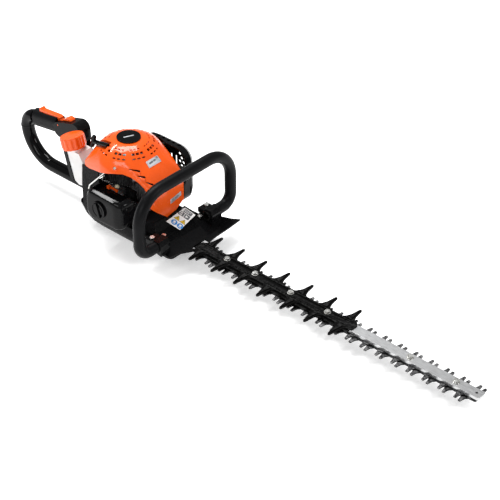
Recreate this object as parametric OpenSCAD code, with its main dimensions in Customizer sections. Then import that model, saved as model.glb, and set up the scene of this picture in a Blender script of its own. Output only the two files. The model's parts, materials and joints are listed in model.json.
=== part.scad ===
// Petrol hedge trimmer: small two-stroke engine on a black tub, vertical crank,
// one reduction gear with two cams, two blades that slide against each other.
// Millimetres, +Z up, +X along the blades, crank axis on x = 0 before centring.

/* [Overall] */
// Crank axis to the square end of the guide bar
bar_tip = 862; // [600:2:1000]
// Crank axis to the back of the rear handle loop
loop_back = 318; // [280:1:360]
// Underside of the base to the top of the round badge
top_z = 212; // [190:1:230]

/* [Blades] */
// Distance between neighbouring teeth on one side of a blade
tooth_pitch = 35; // [30:0.5:38]
// Teeth along each side of a blade
teeth = 19; // [9:1:19]
// Width of a cutting blade from tooth tip to tooth tip
blade_w = 57.6; // [48:0.2:64]
// Thickness of each cutting blade
blade_t = 2.5; // [1.8:0.1:2.5]
// Distance a blade travels end to end
blade_stroke = 17.5; // [10:0.5:17.5]
// Width of the guide bar
bar_w = 22; // [16:1:23]
// Thickness of the guide bar
bar_t = 6; // [4:0.5:6]
// Width of the prong guard from tip to tip
guard_w = 96.8; // [80:0.2:110]

/* [Engine] */
// Bore of the cylinder
bore_d = 32.2; // [28:0.1:33]
// Travel of the piston
stroke = 26; // [20:1:26]
// Radius of the round starter cover at its foot
dome_r = 73; // [70:0.5:76]
// Wall of the moulded covers
wall = 2.5; // [1.5:0.1:3.5]
// Radius of the round badge
badge_r = 24; // [18:1:28]

/* [Gearing] */
// Module of the reduction gears
gear_m = 1.25; // [1:0.05:1.25]
// Teeth on the clutch drum pinion
pinion_n = 14; // [12:1:14]
// Teeth on the large cam gear
gear_n = 56; // [40:1:56]

/* [Front handle] */
// Half width of the front loop at the tube centre
loop_half = 128; // [110:1:140]
// Height of the tube centre along the top of the front loop
loop_top = 190; // [170:1:200]
// Radius of the two upper corners of the loop
loop_corner = 62; // [40:1:70]
// Outer radius of the rubber sleeve on the loop
sleeve_r = 12; // [10:0.5:12]
// Radius of the tube inside the sleeve
tube_r = 9; // [7:0.5:10]

/* [Rear handle] */
// Radius of the rear loop tube
rear_r = 14; // [11:0.5:15]
// Slope of the rear grip, in degrees
grip_slope = 8; // [6:1:12]

/* [Fuel cap] */
// Outer radius of the fuel cap
cap_r = 25.2; // [20:0.2:26]
// Height of the fuel cap
cap_h = 25; // [18:1:28]

/* [Hidden] */
// middle of the filter cover knob
knob_x = 12;
knob_z = 94;
$fn = 48;
frame_shift = (bar_tip - loop_back) / 2;
// blade stack, upwards from the lower blade
low_z = 25.4;
up_z = low_z + blade_t + 0.1;
bar_z = up_z + blade_t + 0.1;
bar_top = bar_z + bar_t;
rest_off = 5;
bolt_x = [260, 332, 422, 512, 704, 806];
bolt_r = 3.5;
// gearing
pin_pr = gear_m * pinion_n / 2;
gear_pr = gear_m * gear_n / 2;
gear_x = pin_pr + gear_pr;
gear_z = 37.8;
gear_t = 8;
cam_e = blade_stroke / 2;
cam_r = 18;
// engine
cyl_z = 107;
rod_len = 42;
pin_x = rod_len + stroke / 2;
piston_r = bore_d / 2 - 0.1;
// front loop
front_x = 152;
foot_z = 63;
// rear loop
arc_x = -232;
arc_z = 118;
arc_r = loop_back - rear_r + arc_x;
// height of the hand shield's upper face along X
shield_line = [[100, 75], [140, 54.6], [155, 48], [175, 42.8], [196, 40.6]];
function sh(x) = lookup(x, shield_line);
// screws that hold the shield and the two handle clamps down
shield_at = [[134, -45], [138, 53]];
clamp_y = 73;

// ---------- helpers ----------
module put() { translate([-frame_shift, 0, 0]) children(); }
module ycyl(r, h) { rotate([-90, 0, 0]) cylinder(r = r, h = h); }
module xcyl(r, h) { rotate([0, 90, 0]) cylinder(r = r, h = h); }
module ring(ro, ri, h) { difference() { cylinder(r = ro, h = h);
  translate([0, 0, -1]) cylinder(r = ri, h = h + 2); } }
// a flat outline in X and Z, swept along Y from y0 to y1
module side(pts, y0, y1) { translate([0, y1, 0]) rotate([90, 0, 0])
  linear_extrude(y1 - y0) polygon(pts); }
module box(x0, y0, z0, x1, y1, z1) { translate([x0, y0, z0]) cube([x1 - x0, y1 - y0, z1 - z0]); }
module rbox(x0, y0, x1, y1, z0, z1, r) { // upright box with round corners, exact
  translate([0, 0, z0]) linear_extrude(z1 - z0) polygon(concat(
    [for (a = [0:15:90]) [x1 - r + r * cos(a), y1 - r + r * sin(a)]],
    [for (a = [90:15:180]) [x0 + r + r * cos(a), y1 - r + r * sin(a)]],
    [for (a = [180:15:270]) [x0 + r + r * cos(a), y0 + r + r * sin(a)]],
    [for (a = [270:15:360]) [x1 - r + r * cos(a), y0 + r + r * sin(a)]])); }
module seg(a, b, r) { hull() { translate(a) sphere(r = r, $fn = 12);
  translate(b) sphere(r = r, $fn = 12); } }

// ---------- involute gears ----------
function inv(a) = tan(a) - a * PI / 180;
function gear_half(r, rb, pr, n, play) = 90 / n - play / pr * 90 / PI
  + (inv(25) - inv(acos(min(1, rb / max(r, rb))))) * 180 / PI;
function gear_pts(n, m, play) = let (pr = m * n / 2, rb = pr * cos(25), ra = pr + m,
  rr = pr - 1.3 * m, r0 = max(rb, rr), rs = [r0, (r0 + pr) / 2, (pr + ra) / 2, ra])
  [for (k = [0:n - 1]) let (c = 360 * k / n) each concat(
    [let (a = c - gear_half(r0, rb, pr, n, play)) [rr * cos(a), rr * sin(a)]],
    [for (r = rs) let (a = c - gear_half(r, rb, pr, n, play)) [r * cos(a), r * sin(a)]],
    [for (i = [3:-1:0]) let (r = rs[i], a = c + gear_half(r, rb, pr, n, play))
      [r * cos(a), r * sin(a)]],
    [let (a = c + gear_half(r0, rb, pr, n, play)) [rr * cos(a), rr * sin(a)]])];

// ---------- covers ----------
module dome(o) { // round starter cover, o is how far inside the outer skin
  rotate_extrude($fn = 72) polygon([[0, 140], [dome_r - o, 140], [dome_r - o, 160],
    [dome_r - 1 - o, 168], [69 - o, 177], [63.5 - o * 0.9, 188 - o * 0.5],
    [56 - o * 0.8, 196 - o * 0.7], [46 - o * 0.5, 202.5 - o], [35 - o * 0.3, 206.5 - o],
    [26, 209 - o], [0, top_z - 2.5 - o]]); }
module hood(o) {
  hull() {
    dome(o);
    translate([0, 0, -o]) side([[60 - o, 70], [60 - o, 172], [66, 173 - o * 0.3], [67, 70]], 10, 50 - o);
    translate([99 - o, 0, 0]) rotate([90, 0, 90]) linear_extrude(4)
      polygon([[-3 + o * 0.3, 69 + o], [22, 74 + o], [45 - o, 89 + o], [45 - o, 140],
        [40 - o, 156 - o], [36 - o, 157 - o], [-32 + o * 0.5, 142 - o], [-38 + o, 136],
        [-40 + o, 130], [-30 + o, 92 + o * 0.5]]);
    translate([-57, -49, 146]) cylinder(r = 14 - o, h = 8 - o, $fn = 32);
  }
}
module vent_ring(r, z, n, w, l, tilt, grip_at) {
  // every fourth place is left solid, so the slots stand in groups of three;
  // none are cut near the starter grip
  for (k = [0:n - 1]) let (a = k * 360 / n + 180 / n) if (k % 4 != 3 && abs(a - grip_at) > 22)
    rotate([0, 0, a]) translate([r, 0, z]) rotate([0, tilt, 0]) cube([l, w, 16], center = true);
}
// frame of one louvre: X along the slot, Z out of the hood
module at_louvre(k) { translate([[57, -42.7, 177.3], [71.5, -39.4, 167.2], [88, -33, 155.4]][k])
  rotate([[51, 12, 35.4], [52, 11, 34], [44, 22, 31]][k]) children(); }
louvre_len = [24, 18, 19];
module louvre_slot(k) at_louvre(k) translate([0, 0, -11]) linear_extrude(22)
  polygon([[-louvre_len[k] / 2, 0], [louvre_len[k] / 2 - 3, 2.7], [louvre_len[k] / 2, 1.2],
    [louvre_len[k] / 2 - 1, -1.8], [-louvre_len[k] / 2 + 4, -1.2]]);
module louvre_lip(k) at_louvre(k) translate([-louvre_len[k] / 2 + 3, -3.6, -1.9])
  rotate([0, 90, 0]) cylinder(r1 = 2, r2 = 3.6, h = louvre_len[k] - 3, $fn = 28);
// frame of the starter grip: X from the cross bar into the hood
module at_rope() { translate([-16.3, -41, 202.6]) rotate([0, -15.2, -7]) children(); }
module engine_cover() color("#e8601c") difference() {
  union() {
    difference() {
      hood(0);
      hood(wall);
      // open underneath, arched over the carburettor on the near side
      side([[-110, 60], [88, 60], [91, 104], [92, 137], [84, 147], [71, 157], [56, 165], [41, 169],
        [25, 167.4], [0, 161], [-27, 153.6], [-48, 148], [-110, 146]], -110, -10);
      side([[-110, 60], [80, 60], [84, 100], [78, 140], [-110, 148]], -10.1, 120);
      // room round the cylinder fins
      box(20, -28, 76, 88.5, 28, 137);
    }
    // post that the starter pulley turns on
    difference() { translate([0, 0, 163.5]) cylinder(r = 5, h = 44);
      translate([0, 0, 160]) cylinder(r = 1.6, h = 20); }
    translate([0, 0, 190]) difference() { cylinder(r = 28, h = 17.2);
      translate([0, 0, -1]) cylinder(r = 26, h = 20); }
    for (k = [0:2]) louvre_lip(k);
    // tray that the starter grip lies in
    intersection() { dome(0.4); at_rope() box(-50, -15.5, -9.2, 4.6, 11.5, 12); }
  }
  vent_ring(40, 204.5, 32, 5.2, 2.6, 24, 250);
  vent_ring(49.5, 199.5, 36, 6.5, 5.4, 36, 233);
  vent_ring(57.5, 193.5, 36, 6.4, 2.8, 48, 221);
  // open channel of the tray, and the mouth that the rope comes out of
  at_rope() { box(-64, -13, -6.6, 2, 9, 40); translate([1, 0, 0]) xcyl(2.4, 8); }
  for (k = [0:2]) louvre_slot(k);
}
module starter_badge() color("#0c0c0d") translate([0, 0, top_z - 2.4]) {
  difference() { cylinder(r = badge_r, h = 2.4, $fn = 96);
    translate([0, 0, 1.8]) cylinder(r = badge_r - 2.2, h = 2, $fn = 96); }
  translate([0, 0, 1.9]) rotate([0, 0, 66]) cube([24, 5, 0.8], center = true);
}
module cover_labels() color("#b9bcc0") {
  // plate on the front wall
  translate([103.05, 22, 103]) rotate([90, 0, 90]) linear_extrude(0.6)
    polygon([[-15, -8], [15, -2], [15, 8], [-15, 2]]);
  // plate that follows the slope of the hood
  difference() {
    intersection() { hood(-0.6); translate([68.8, -2.3, 183]) rotate([0, 44, 0])
      translate([0, 0, -8]) linear_extrude(16) polygon([[-7, -15], [7, -15], [7, 15.5], [-7, 15]]); }
    hood(-0.05);
  }
}
module fan_housing() color("#151516") difference() {
  union() {
    translate([0, 0, 129.6]) ring(52.5, 26.4, 2.3);
    translate([0, 0, 129.6]) ring(52.5, 50, 33);
    for (a = [70, 118, 205, 255]) rotate([0, 0, a]) translate([54.6, 0, 130]) cylinder(r = 3, h = 22);
  }
  box(22, -34, 120, 100, 34, 170);
  // seat of the ignition coil
  rotate([0, 0, 150]) box(44, -16, 131.9, 66, 16, 156);
}
module starter_pulley() color("#d9d6cc") difference() {
  rotate_extrude($fn = 64) polygon([[5.1, 165], [24, 165], [24, 167], [19.5, 168.5], [19.5, 174.5],
    [24, 176], [24, 178], [9, 178], [9, 180], [5.1, 180]]);
  for (a = [0:60:300]) rotate([0, 0, a]) translate([13.5, 0, 160]) cylinder(r = 3.4, h = 30);
}
module recoil_spring() color("#8d9196") translate([0, 0, 181]) linear_extrude(7) polygon(concat(
  [for (a = [0:20:1440]) (6 + a / 1440 * 18) * [cos(a), sin(a)]],
  [for (a = [1440:-20:0]) (6.9 + a / 1440 * 18) * [cos(a), sin(a)]]));
module starter_rope() color("#e6e2d6") {
  translate([0, 0, 171.5]) rotate_extrude() translate([21.3, 0]) circle(r = 1.7, $fn = 16);
}
module starter_grip() color("#101011") at_rope() difference() {
  union() {
    translate([-51, 0, 0]) rotate([0, 34, 0]) rotate_extrude($fn = 32)
      polygon([[0, -14.5], [2.4, -14.5], [4.4, -12], [5.2, -6], [4.6, 0],
        [5.2, 7], [4.4, 14.5], [2.4, 17], [0, 17]]);
    translate([-51, 0, 0]) xcyl(4.9, 17);
    translate([-34.2, 0, 0]) xcyl(4.2, 16);
    translate([-18.4, 0, 0]) xcyl(4.9, 18.4);
  }
  translate([-40, 0, 0]) xcyl(1.4, 60);
}
module flywheel() color("#a9adb2") difference() {
  union() {
    translate([0, 0, 134]) cylinder(r = 44, h = 10, $fn = 72);
    translate([0, 0, 134]) cylinder(r = 13, h = 22);
    for (k = [0:13]) rotate([0, 0, k * 360 / 14]) translate([18, 0, 143.9])
      rotate([0, 0, 12]) cube([25, 1.8, 15]);
  }
  translate([0, 0, 130]) cylinder(r = 6.02, h = 30);
  for (a = [45:90:315]) rotate([0, 0, a]) translate([28, 0, 130]) cylinder(r = 4, h = 16);
}
module ignition_coil() color("#2b2b2e") rotate([0, 0, 150]) {
  difference() { translate([44.6, -14, 134]) cube([15.5, 28, 10]);
    cylinder(r = 44.5, h = 200, $fn = 72);
    translate([43, -7, 133]) cube([10, 14, 12]); }
  translate([52.6, -6.8, 132.6]) cube([9.4, 13.6, 1.6]);
  translate([52.6, -6.8, 143.9]) cube([9.4, 13.6, 8]);
}
// ---------- cylinder and crank train ----------
plug_tilt = 50;
module at_plug() { translate([76, 0, 113]) rotate([0, 90 - plug_tilt, 0]) children(); }
module plug_cap() color("#111112") difference() {
  union() {
    at_plug() translate([0, 0, 15.2]) cylinder(r = 7.4, h = 13);
    at_plug() translate([0, 0, 21]) rotate([-90, 0, 0]) cylinder(r = 4, h = 13);
  }
  at_plug() translate([0, 0, 10]) cylinder(r = 5.05, h = 17.1);
}
module spark_plug() color("#e9e7e2") {
  at_plug() {
    cylinder(r = 4.9, h = 6);
    translate([0, 0, 6]) cylinder(r = 9, h = 6, $fn = 6);
    translate([0, 0, 12]) cylinder(r = 5, h = 3);
    translate([0, 0, 15]) cylinder(r = 5, h = 12);
  }
}
module cylinder_fins() for (x = [34:5:74]) box(x, -25, cyl_z - 25, x + 1.7, 25, cyl_z + 25);
module engine_cylinder() color("#8f9296") difference() {
  union() {
    box(26.1, -23, cyl_z - 23, 31, 23, cyl_z + 23);
    translate([30, 0, cyl_z]) xcyl(20.5, 46);
    difference() { cylinder_fins();
      for (s = [-1, 1]) translate([20, s * 21, cyl_z]) xcyl(2.6, 14); }
    box(40, 0, 98, 53, 28.4, 116);
    box(29.5, -27.4, 99, 43.5, 0, 115);
  }
  translate([20, 0, cyl_z]) xcyl(bore_d / 2, 48.5);
  translate([68, 0, cyl_z]) rotate([0, 90, 0]) cylinder(r1 = bore_d / 2 - 2, r2 = 6, h = 5);
  translate([46.5, 0, cyl_z]) ycyl(4.6, 40);
  translate([36.5, -40, cyl_z]) ycyl(4.4, 40);
  at_plug() translate([0, 0, -8]) cylinder(r = 4.95, h = 20);
  at_plug() translate([0, 0, 5.95]) cylinder(r = 10.5, h = 30);
}
module piston() color("#c9ccd0") difference() {
  translate([pin_x - 11, 0, cyl_z]) xcyl(piston_r, 23);
  translate([pin_x - 12, 0, cyl_z]) xcyl(piston_r - 2.6, 20);
  translate([pin_x, 0, cyl_z - 30]) cylinder(r = 4.02, h = 60);
  for (d = [7.5, 10]) translate([pin_x + d, 0, cyl_z]) difference() {
    xcyl(piston_r + 1, 1.2); xcyl(piston_r - 1.2, 1.2); }
}
module piston_pin() color("#dfe1e4") translate([pin_x, 0, cyl_z - 15])
  difference() { cylinder(r = 4, h = 30); translate([0, 0, -1]) cylinder(r = 2.4, h = 32); }
module connecting_rod() color("#9a9da2") difference() {
  union() {
    translate([pin_x, 0, cyl_z - 3.5]) cylinder(r = 7, h = 7);
    translate([stroke / 2, 0, cyl_z - 3.5]) cylinder(r = 8.5, h = 7);
    box(stroke / 2, -3.4, cyl_z - 2.4, pin_x, 3.4, cyl_z + 2.4);
  }
  translate([pin_x, 0, cyl_z - 5]) cylinder(r = 4.05, h = 10);
  translate([stroke / 2, 0, cyl_z - 5]) cylinder(r = 5.05, h = 10);
}
module crank_pin() color("#d5d8db") translate([stroke / 2, 0, cyl_z - 3.6])
  cylinder(r = 5, h = 7.2);
module web(z0) difference() {
  translate([0, 0, z0]) cylinder(r = 17.4, h = 7.6);
  for (s = [-1, 1]) box(3, s * 13 - 5, z0 - 1, 22, s * 13 + 5, z0 + 9);
}
module upper_crank_half() color("#aeb2b7") {
  web(cyl_z + 4.2);
  translate([0, 0, cyl_z + 11.7]) cylinder(r = 6, h = 158 - cyl_z - 11.7);
  translate([0, 0, 156.1]) cylinder(r = 8.5, h = 5, $fn = 6);
}
module lower_crank_half() color("#aeb2b7") {
  web(cyl_z - 11.8);
  translate([0, 0, 63]) cylinder(r = 6, h = cyl_z - 11.7 - 63);
}
module crank_bearings() color("#cfd2d6") {
  translate([0, 0, 86.1]) ring(13.98, 6.02, 7);
  translate([0, 0, 121]) ring(13.98, 6.02, 7);
}
module crankcase() color("#8b8e93") difference() {
  union() {
    translate([0, 0, 81]) cylinder(r = 24, h = 48.4);
    box(0, -23, 84, 26, 23, 129.4);
    translate([0, 0, 129]) cylinder(r = 15, h = 3);
    // clutch bell that stands on the gear case
    translate([0, 0, 57.1]) cylinder(r = 35, h = 24.7);
  }
  translate([0, 0, 50]) cylinder(r = 31.6, h = 30.2);
  translate([0, 0, 94.2]) cylinder(r = 18.4, h = 25.6);
  // room for the big end of the rod at the bottom of the stroke
  translate([0, 0, 102.5]) cylinder(r = 22, h = 9);
  translate([0, 0, 86]) cylinder(r = 14, h = 9);
  translate([0, 0, 118]) cylinder(r = 14, h = 10.1);
  translate([0, 0, 78]) cylinder(r = 6.6, h = 60);
  translate([0, 0, cyl_z]) xcyl(16.4, 40);
  rotate([0, 0, 215]) translate([31, 0, 60]) box(-4, -8, 0, 8, 8, 14);
}
module clutch_shoes() color("#7d7468") difference() {
  union() {
    for (a = [0, 180]) rotate([0, 0, a]) difference() {
      translate([0, 0, 64]) cylinder(r = 26.4, h = 11);
      translate([0, 0, 63]) cylinder(r = 14, h = 13);
      box(-30, -40, 60, 30, 4, 80);
    }
    translate([0, 0, 63.5]) ring(9, 6.02, 12);
    box(-16, -3.6, 65, -8.5, 3.6, 74);
    box(8.5, -3.6, 65, 16, 3.6, 74);
  }
  for (a = [60, 120, 240, 300]) rotate([0, 0, a]) translate([20, 0, 60]) cylinder(r = 2.2, h = 20);
}
module clutch_drum() color("#9fa3a8") union() {
  difference() {
    translate([0, 0, 58.2]) cylinder(r = 29.6, h = 21.4);
    translate([0, 0, 60.6]) cylinder(r = 27.2, h = 30);
    for (a = [0:60:300]) rotate([0, 0, a]) translate([17, 0, 50]) cylinder(r = 4, h = 20);
  }
  translate([0, 0, 46]) cylinder(r = 6, h = 12.4);
  translate([0, 0, gear_z]) linear_extrude(gear_t + 0.4) polygon(gear_pts(pinion_n, gear_m, 0.12));
}
module drive_gear() color("#b8bbbf") difference() {
  translate([gear_x, 0, 0]) union() {
    translate([0, 0, gear_z]) rotate([0, 0, 180 / gear_n]) linear_extrude(gear_t)
      polygon(gear_pts(gear_n, gear_m, 0.12));
    translate([cam_e, 0, 31.1]) cylinder(r = cam_r, h = gear_z - 31);
    translate([0, 0, 12.8]) cylinder(r = 5, h = 41.2);
    translate([-cam_e, 0, 19.2]) cylinder(r = cam_r, h = 5.8);
  }
  translate([gear_x, 0, 0]) for (a = [45:90:315]) rotate([0, 0, a])
    translate([25, 0, gear_z - 1]) cylinder(r = 4, h = gear_t + 2);
  translate([gear_x, 0, 10]) cylinder(r = 1.5, h = 14);
}
module gear_bearings() color("#cfd2d6") {
  translate([gear_x, 0, 47.2]) ring(10.98, 5.02, 6.6);
  translate([gear_x, 0, 12.6]) ring(10.98, 5.02, 6);
  translate([0, 0, 48.6]) ring(11.98, 6.02, 6.4);
}
module case_plan(r1, r2) { hull() { translate([gear_x, 0]) circle(r = r1, $fn = 72);
  circle(r = r2, $fn = 72); } }
module gear_case() color("#2a2b2d") difference() {
  union() {
    translate([0, 0, 12.1]) linear_extrude(44.9) case_plan(41.5, 35);
    box(75, -24, bar_top + 0.2, 142, 24, 50);
    // cross arm under the hand shield
    box(120, -86, bar_top + 0.2, 142, 86, 50);
    for (s = [-1, 1]) box(75, s * 27 - 3, 12.1, 138, s * 27 + 3, 44);
  }
  translate([gear_x, 0, 11]) cylinder(r = 38, h = 35.9);
  translate([0, 0, 31]) cylinder(r = 13.5, h = 17.5);
  translate([gear_x, 0, 40]) cylinder(r = 11, h = 14);
  translate([0, 0, 48.5]) cylinder(r = 12, h = 6.6);
  translate([0, 0, 50]) cylinder(r = 7, h = 10);
  box(60, -22, 11, 150, 22, bar_top + 0.2);
  for (p = shield_at) translate([p[0], p[1], 30]) cylinder(r = 2.5, h = 30);
  for (s = [-1, 1]) translate([134, s * (clamp_y + 4), 30]) cylinder(r = 2.5, h = 30);
  for (x = [96, 112]) translate([x, 0, 30]) cylinder(r = 3.5, h = 30);
  for (s = [-1, 1]) translate([60, s * 45, 40]) cylinder(r = 4, h = 30);
}
module gear_case_cover() color("#3a3b3e") difference() {
  union() {
    translate([0, 0, 8]) linear_extrude(4) case_plan(41.5, 35);
    box(75, -30, 8, 138, 30, 12);
    translate([gear_x, 0, 8.1]) cylinder(r = 13.5, h = 10.6);
  }
  translate([gear_x, 0, 12.5]) cylinder(r = 11, h = 10);
  for (s = [-1, 1]) for (x = [20, 66]) translate([x, s * 34, 6]) cylinder(r = 2.5, h = 8);
}
// ---------- base ----------
module tub(o) hull() {
  rbox(-56 + o, -42 + o, 100 - o, 42 - o, o, o + 1, 12);
  rbox(-68 + o, -52 + o, 104 - o, 52 - o, 12 + o * 0.6, 13 + o, 14);
  rbox(-82 + o, -59 + o, 106 - o, 59 - o, 28, 29, 16);
  rbox(-93 + o, -62 + o, 106 - o, 62 - o, 50, 51, 16);
  rbox(-95 + o, -62 + o, 106 - o, 62 - o, 80, 80 + o, 16);
}
module base_housing() color("#141415") difference() {
  union() {
    difference() { tub(0); translate([0, 0, 0.02]) tub(3);
      // front half is lower than the back
      box(-26, -80, 52, 120, 80, 90);
      // mouth for the blades and the bar
      box(60, -31, 7.9, 120, 31, 60);
      box(60, -31, 60, 120, 31, 90);
      // seat of the rear handle foot
      box(-100, -23, 26, -60, 23, 66);
    }
    difference() { box(-96, -24, 27, -78, 24, 65); box(-93, -21, 30, -77, 21, 62); }
    // skid under the gear case
    rbox(40, -36, 142, 36, 0, 3.5, 10);
    for (s = [-1, 1]) for (x = [20, 66]) translate([x, s * 34, 2]) cylinder(r = 6, h = 5.9);
    for (s = [-1, 1]) box(88, s * 20 - 2, 2, 136, s * 20 + 2, 7.9);
    // rear shroud beside the tank
    difference() {
      box(-76, -62, 50, -26, -59.5, 146);
      side([[-90, 90], [-76, 100], [-72, 146], [-90, 150]], -70, -50);
    }
    for (z = [50:9:92]) box(-58, -63.5, z, -53, -61.9, z + 5);
    box(-28.5, -62, 50, -26, -40, 128);
  }
  for (s = [-1, 1]) for (x = [20, 66]) translate([x, s * 34, -1]) cylinder(r = 2.5, h = 12);
  for (s = [-1, 1]) translate([-98, s * 15, 46]) xcyl(2.5, 12);
}
// ---------- fuel and air ----------
module intake_block() color("#1b1b1d") difference() {
  box(-4, -35.4, 98, 45, -27.6, 116);
  translate([36.5, -32, cyl_z]) ycyl(4.4, 10);
  box(3, -33.4, 103, 41, -29.6, 111);
  translate([8, -40, cyl_z]) ycyl(4.4, 9);
}
module carburetor() color("#b7b3a8") difference() {
  union() {
    box(-5, -57.5, 99, 21, -35.6, 118);
    box(16.5, -56.1, 117, 21, -53, 124);
    translate([-11, -46, 108]) xcyl(5.5, 6.5);
    translate([20.5, -46, 106]) xcyl(4, 5);
    translate([9.5, -46, 117.5]) cylinder(r = 6.1, h = 2.5);
  }
  translate([8, -70, cyl_z]) ycyl(6, 34.3);
  translate([8, -40, cyl_z]) ycyl(4.4, 10);
  translate([-0.5, -46, 112]) cylinder(r = 2.05, h = 8);
  translate([9.5, -46, 116]) cylinder(r = 5.15, h = 6);
  translate([19, -60, 120.6]) ycyl(2.05, 10);
  translate([19, -60, 120.6]) ycyl(3.9, 3.9);
}
module throttle_lever() color("#d8d8d4") difference() {
  union() { translate([-0.5, -46, 118.3]) cylinder(r = 3.8, h = 2.2);
    translate([-0.5, -46, 112.6]) cylinder(r = 2, h = 6.5);
    box(-12, -47.8, 118.3, -0.5, -44.2, 120.5); }
  translate([-9.8, -46, 117]) cylinder(r = 1, h = 6);
}
module choke_lever() color("#e8601c") {
  translate([19, -58.6, 120.6]) {
    ycyl(3.6, 2.3); ycyl(2, 5);
    box(-22, 0, -1.4, 0, 2.3, 3.2);
    box(-22, -4.4, -1.4, -15, 2.3, 5.2);
  }
}
module primer_bulb() color("#f3efe4") translate([9.5, -46, 120.1]) difference() {
  union() { cylinder(r = 5, h = 1); 
    difference() { translate([0, 0, 0.9]) sphere(r = 4.8); translate([0, 0, -9]) cube([20, 20, 20], center = true); } }
  translate([0, 0, -0.1]) sphere(r = 3.6);
}
module throttle_cable() color("#c9ccd0") {
  seg([-6, -64.6, 154], [-50, -64.6, 108], 1.6);
  seg([-50, -64.6, 108], [-54, -64.3, 98], 1.6);
  seg([-6, -64.6, 154], [-17, -60, 130], 1.3);
  seg([-17, -60, 130], [-14.4, -46, 119.4], 1.3);
}
module air_filter_base() color("#1a1a1c") difference() {
  union() {
    rbox_y(-25, -60.6, 67, -57.6, 63, 116, 9);
    // side wall and floor of the box round the carburettor
    box(64.4, -58, 68, 67, -36, 108);
    box(-16, -58, 63, 60, -39, 66);
  }
  translate([8, -70, cyl_z]) ycyl(6, 34);
  translate([knob_x, -70, knob_z]) ycyl(2.5, 34);
}
// box with round corners seen along Y
module rbox_y(x0, y0, x1, y1, z0, z1, r) { translate([0, y1, 0]) rotate([90, 0, 0])
  linear_extrude(y1 - y0) polygon(concat(
    [for (a = [0:15:90]) [x1 - r + r * cos(a), z1 - r + r * sin(a)]],
    [for (a = [90:15:180]) [x0 + r + r * cos(a), z1 - r + r * sin(a)]],
    [for (a = [180:15:270]) [x0 + r + r * cos(a), z0 + r + r * sin(a)]],
    [for (a = [270:15:360]) [x1 - r + r * cos(a), z0 + r + r * sin(a)]])); }
module air_filter_element() color("#c8b27a") difference() {
  rbox_y(-11, -84, 44, -60.7, 66, 113, 8);
  rbox_y(-4, -85, 0, -66, 72, 104, 1.6);
  rbox_y(20, -85, 36, -66, 72, 104, 2);
  translate([6, -68, cyl_z - 2]) ycyl(4, 9);
  translate([knob_x, -90, knob_z]) ycyl(4.2, 34);
}
module filter_shell(o) hull() {
  rbox_y(-28 + o, -78, 70 - o, -61 + o, 60 + o, 127 - o, 15 - o * 0.6);
  rbox_y(-28 + o, -88 + o * 0.3, 68.5 - o, -76, 60.5 + o, 126.5 - o, 15 - o * 0.6);
  rbox_y(-26.5 + o, -94.5 + o * 0.6, 64.5 - o, -80, 62 + o, 125 - o, 15 - o * 0.6);
  rbox_y(-23.5 + o, -98.2 + o * 0.85, 58 - o, -84, 65 + o, 122 - o, 14 - o * 0.6);
  rbox_y(-18 + o, -100 + o, 50 - o, -86, 71 + o, 116 - o, 13 - o * 0.6);
}
module air_filter_cover() color("#1d1d1f") difference() {
  filter_shell(0);
  difference() {
    filter_shell(2.4);
    box(-22.4, -90.4, 115.2, 62.4, -50, 140);
  }
  // tray behind the rim, open to the carburettor and its levers
  box(-20, -88, 117.6, 60, -50, 140);
  box(-40, -62, 40, 80, -50, 140);
  translate([knob_x, -103, knob_z]) ycyl(3.2, 30);
}
module filter_knob() color("#101011") translate([knob_x, 0, knob_z]) {
  difference() {
    union() {
      translate([0, -104, 0]) ycyl(18, 3.9);
      translate([0, -107, 0]) rotate([0, 72, 0]) box(-15.5, 0, -3.4, 15.5, 3.2, 3.4);
    }
    translate([0, -105, 0]) difference() { ycyl(15.2, 1.8); ycyl(11.4, 1.8); }
  }
  translate([0, -100.3, 0]) ycyl(3, 38.7);
  translate([0, -62, 0]) ycyl(2.4, 4.3);
}
// ---------- exhaust ----------
module muffler() color("#77716a") difference() {
  union() {
    rbox_y(8, 40, 74, 88, 78, 126, 10);
    box(40, 28.5, 98, 53, 41, 116);
    translate([70, 68, 90]) xcyl(6, 12);
  }
  rbox_y(9.5, 41.5, 72.5, 86.5, 79.5, 124.5, 9);
  translate([46.5, 20, cyl_z]) ycyl(4.6, 24);
  translate([70, 68, 90]) xcyl(4.6, 20);
}
module guard_shell(o) hull() {
  rbox_y(-34 + o, 40, 90 - o, 82, 58 + o, 180 - o, 28 - o);
  rbox_y(-28 + o, 80, 84 - o, 92, 64 + o, 174 - o, 28 - o);
  rbox_y(-20 + o, 90, 76 - o, 98 - o, 72 + o, 166 - o, 26 - o);
}
module muffler_guard() color("#121213") difference() {
  guard_shell(0);
  guard_shell(2.5);
  box(-60, 30, 40, 120, 60, 200);
  box(-60, 30, 138, 120, 68, 200);
  cylinder(r = dome_r + 1.2, h = 220);
  // see-through holes and slots in the outer wall, and two slots in the front wall
  for (r = [0:4]) for (c = [0:3]) translate([44 + c * 10 + (r % 2) * 5, 80, 146 - r * 9])
    ycyl(3.4, 30);
  for (x = [62, 70]) box(x - 2, 76, 74, x + 2, 110, 92);
  for (y = [77, 84]) box(78, y, 80, 100, y + 3, 96);
  for (x = [-18:13:34]) box(x - 2.4, 80, 88, x + 2.4, 110, 138);
  translate([4, 84, 158]) ycyl(4.5, 30);
  for (x = [0:14:56]) box(x, 76, 160, x + 7, 84, 200);
}
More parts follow.
